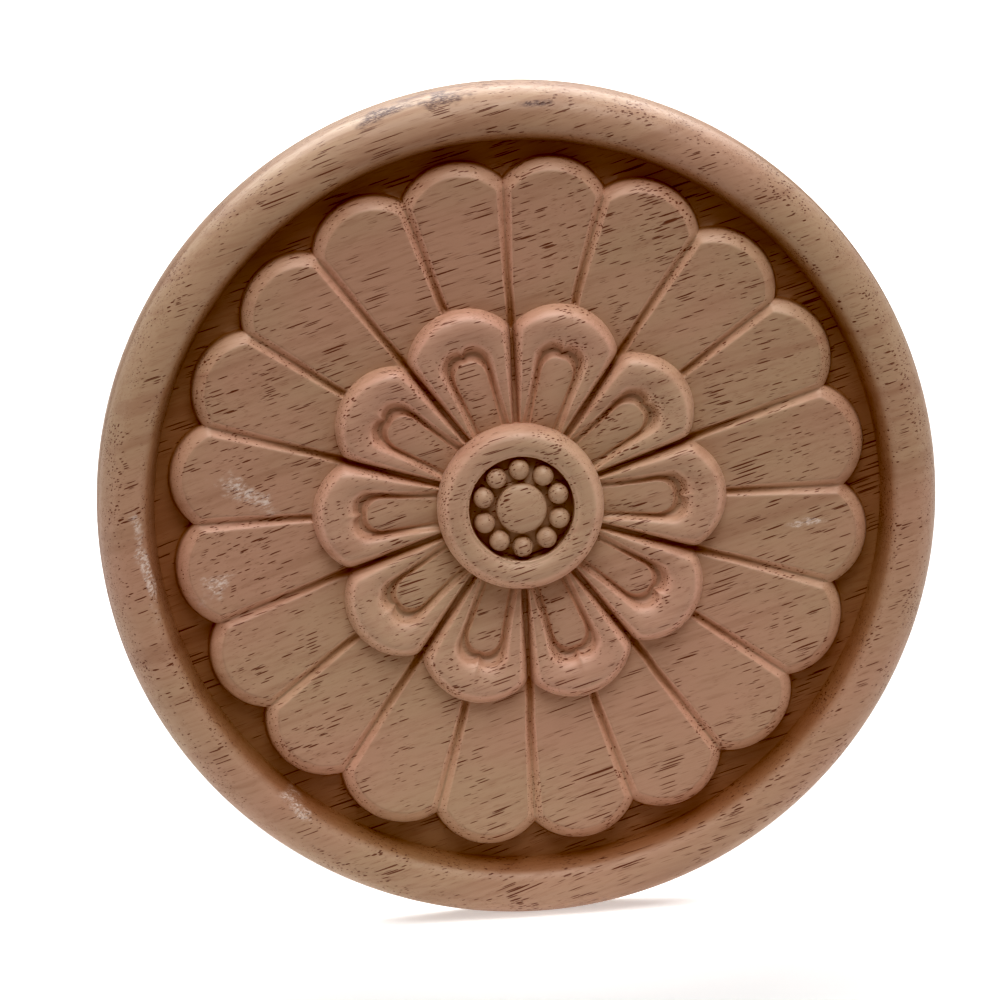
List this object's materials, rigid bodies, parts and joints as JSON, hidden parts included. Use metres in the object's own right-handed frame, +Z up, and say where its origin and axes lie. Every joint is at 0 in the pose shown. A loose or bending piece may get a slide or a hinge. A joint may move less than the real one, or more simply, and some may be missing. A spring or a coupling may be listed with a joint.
{
  "type": "carved wood applique",
  "caption": "Round carved wood rosette applique with a rolled rim, overlapping petals and a beaded eye, flat on the back for gluing or pinning.",
  "frame": {"origin": "middle of the flat back, on the plane that it is fixed to", "axes": "upright as it hangs: +Z up, the carving faces -Y, the flat back faces +Y, +X to the right of someone who looks at the carving"},
  "size_m": [0.15, 0.014, 0.15],
  "materials": {
    "wood": "bare open-pored hardwood, reddish light brown, unvarnished, with short dark pores and a little torn grain"
  },
  "bodies": {
    "root": {"carved_rosette": "wood"}
  },
  "joints": []
}
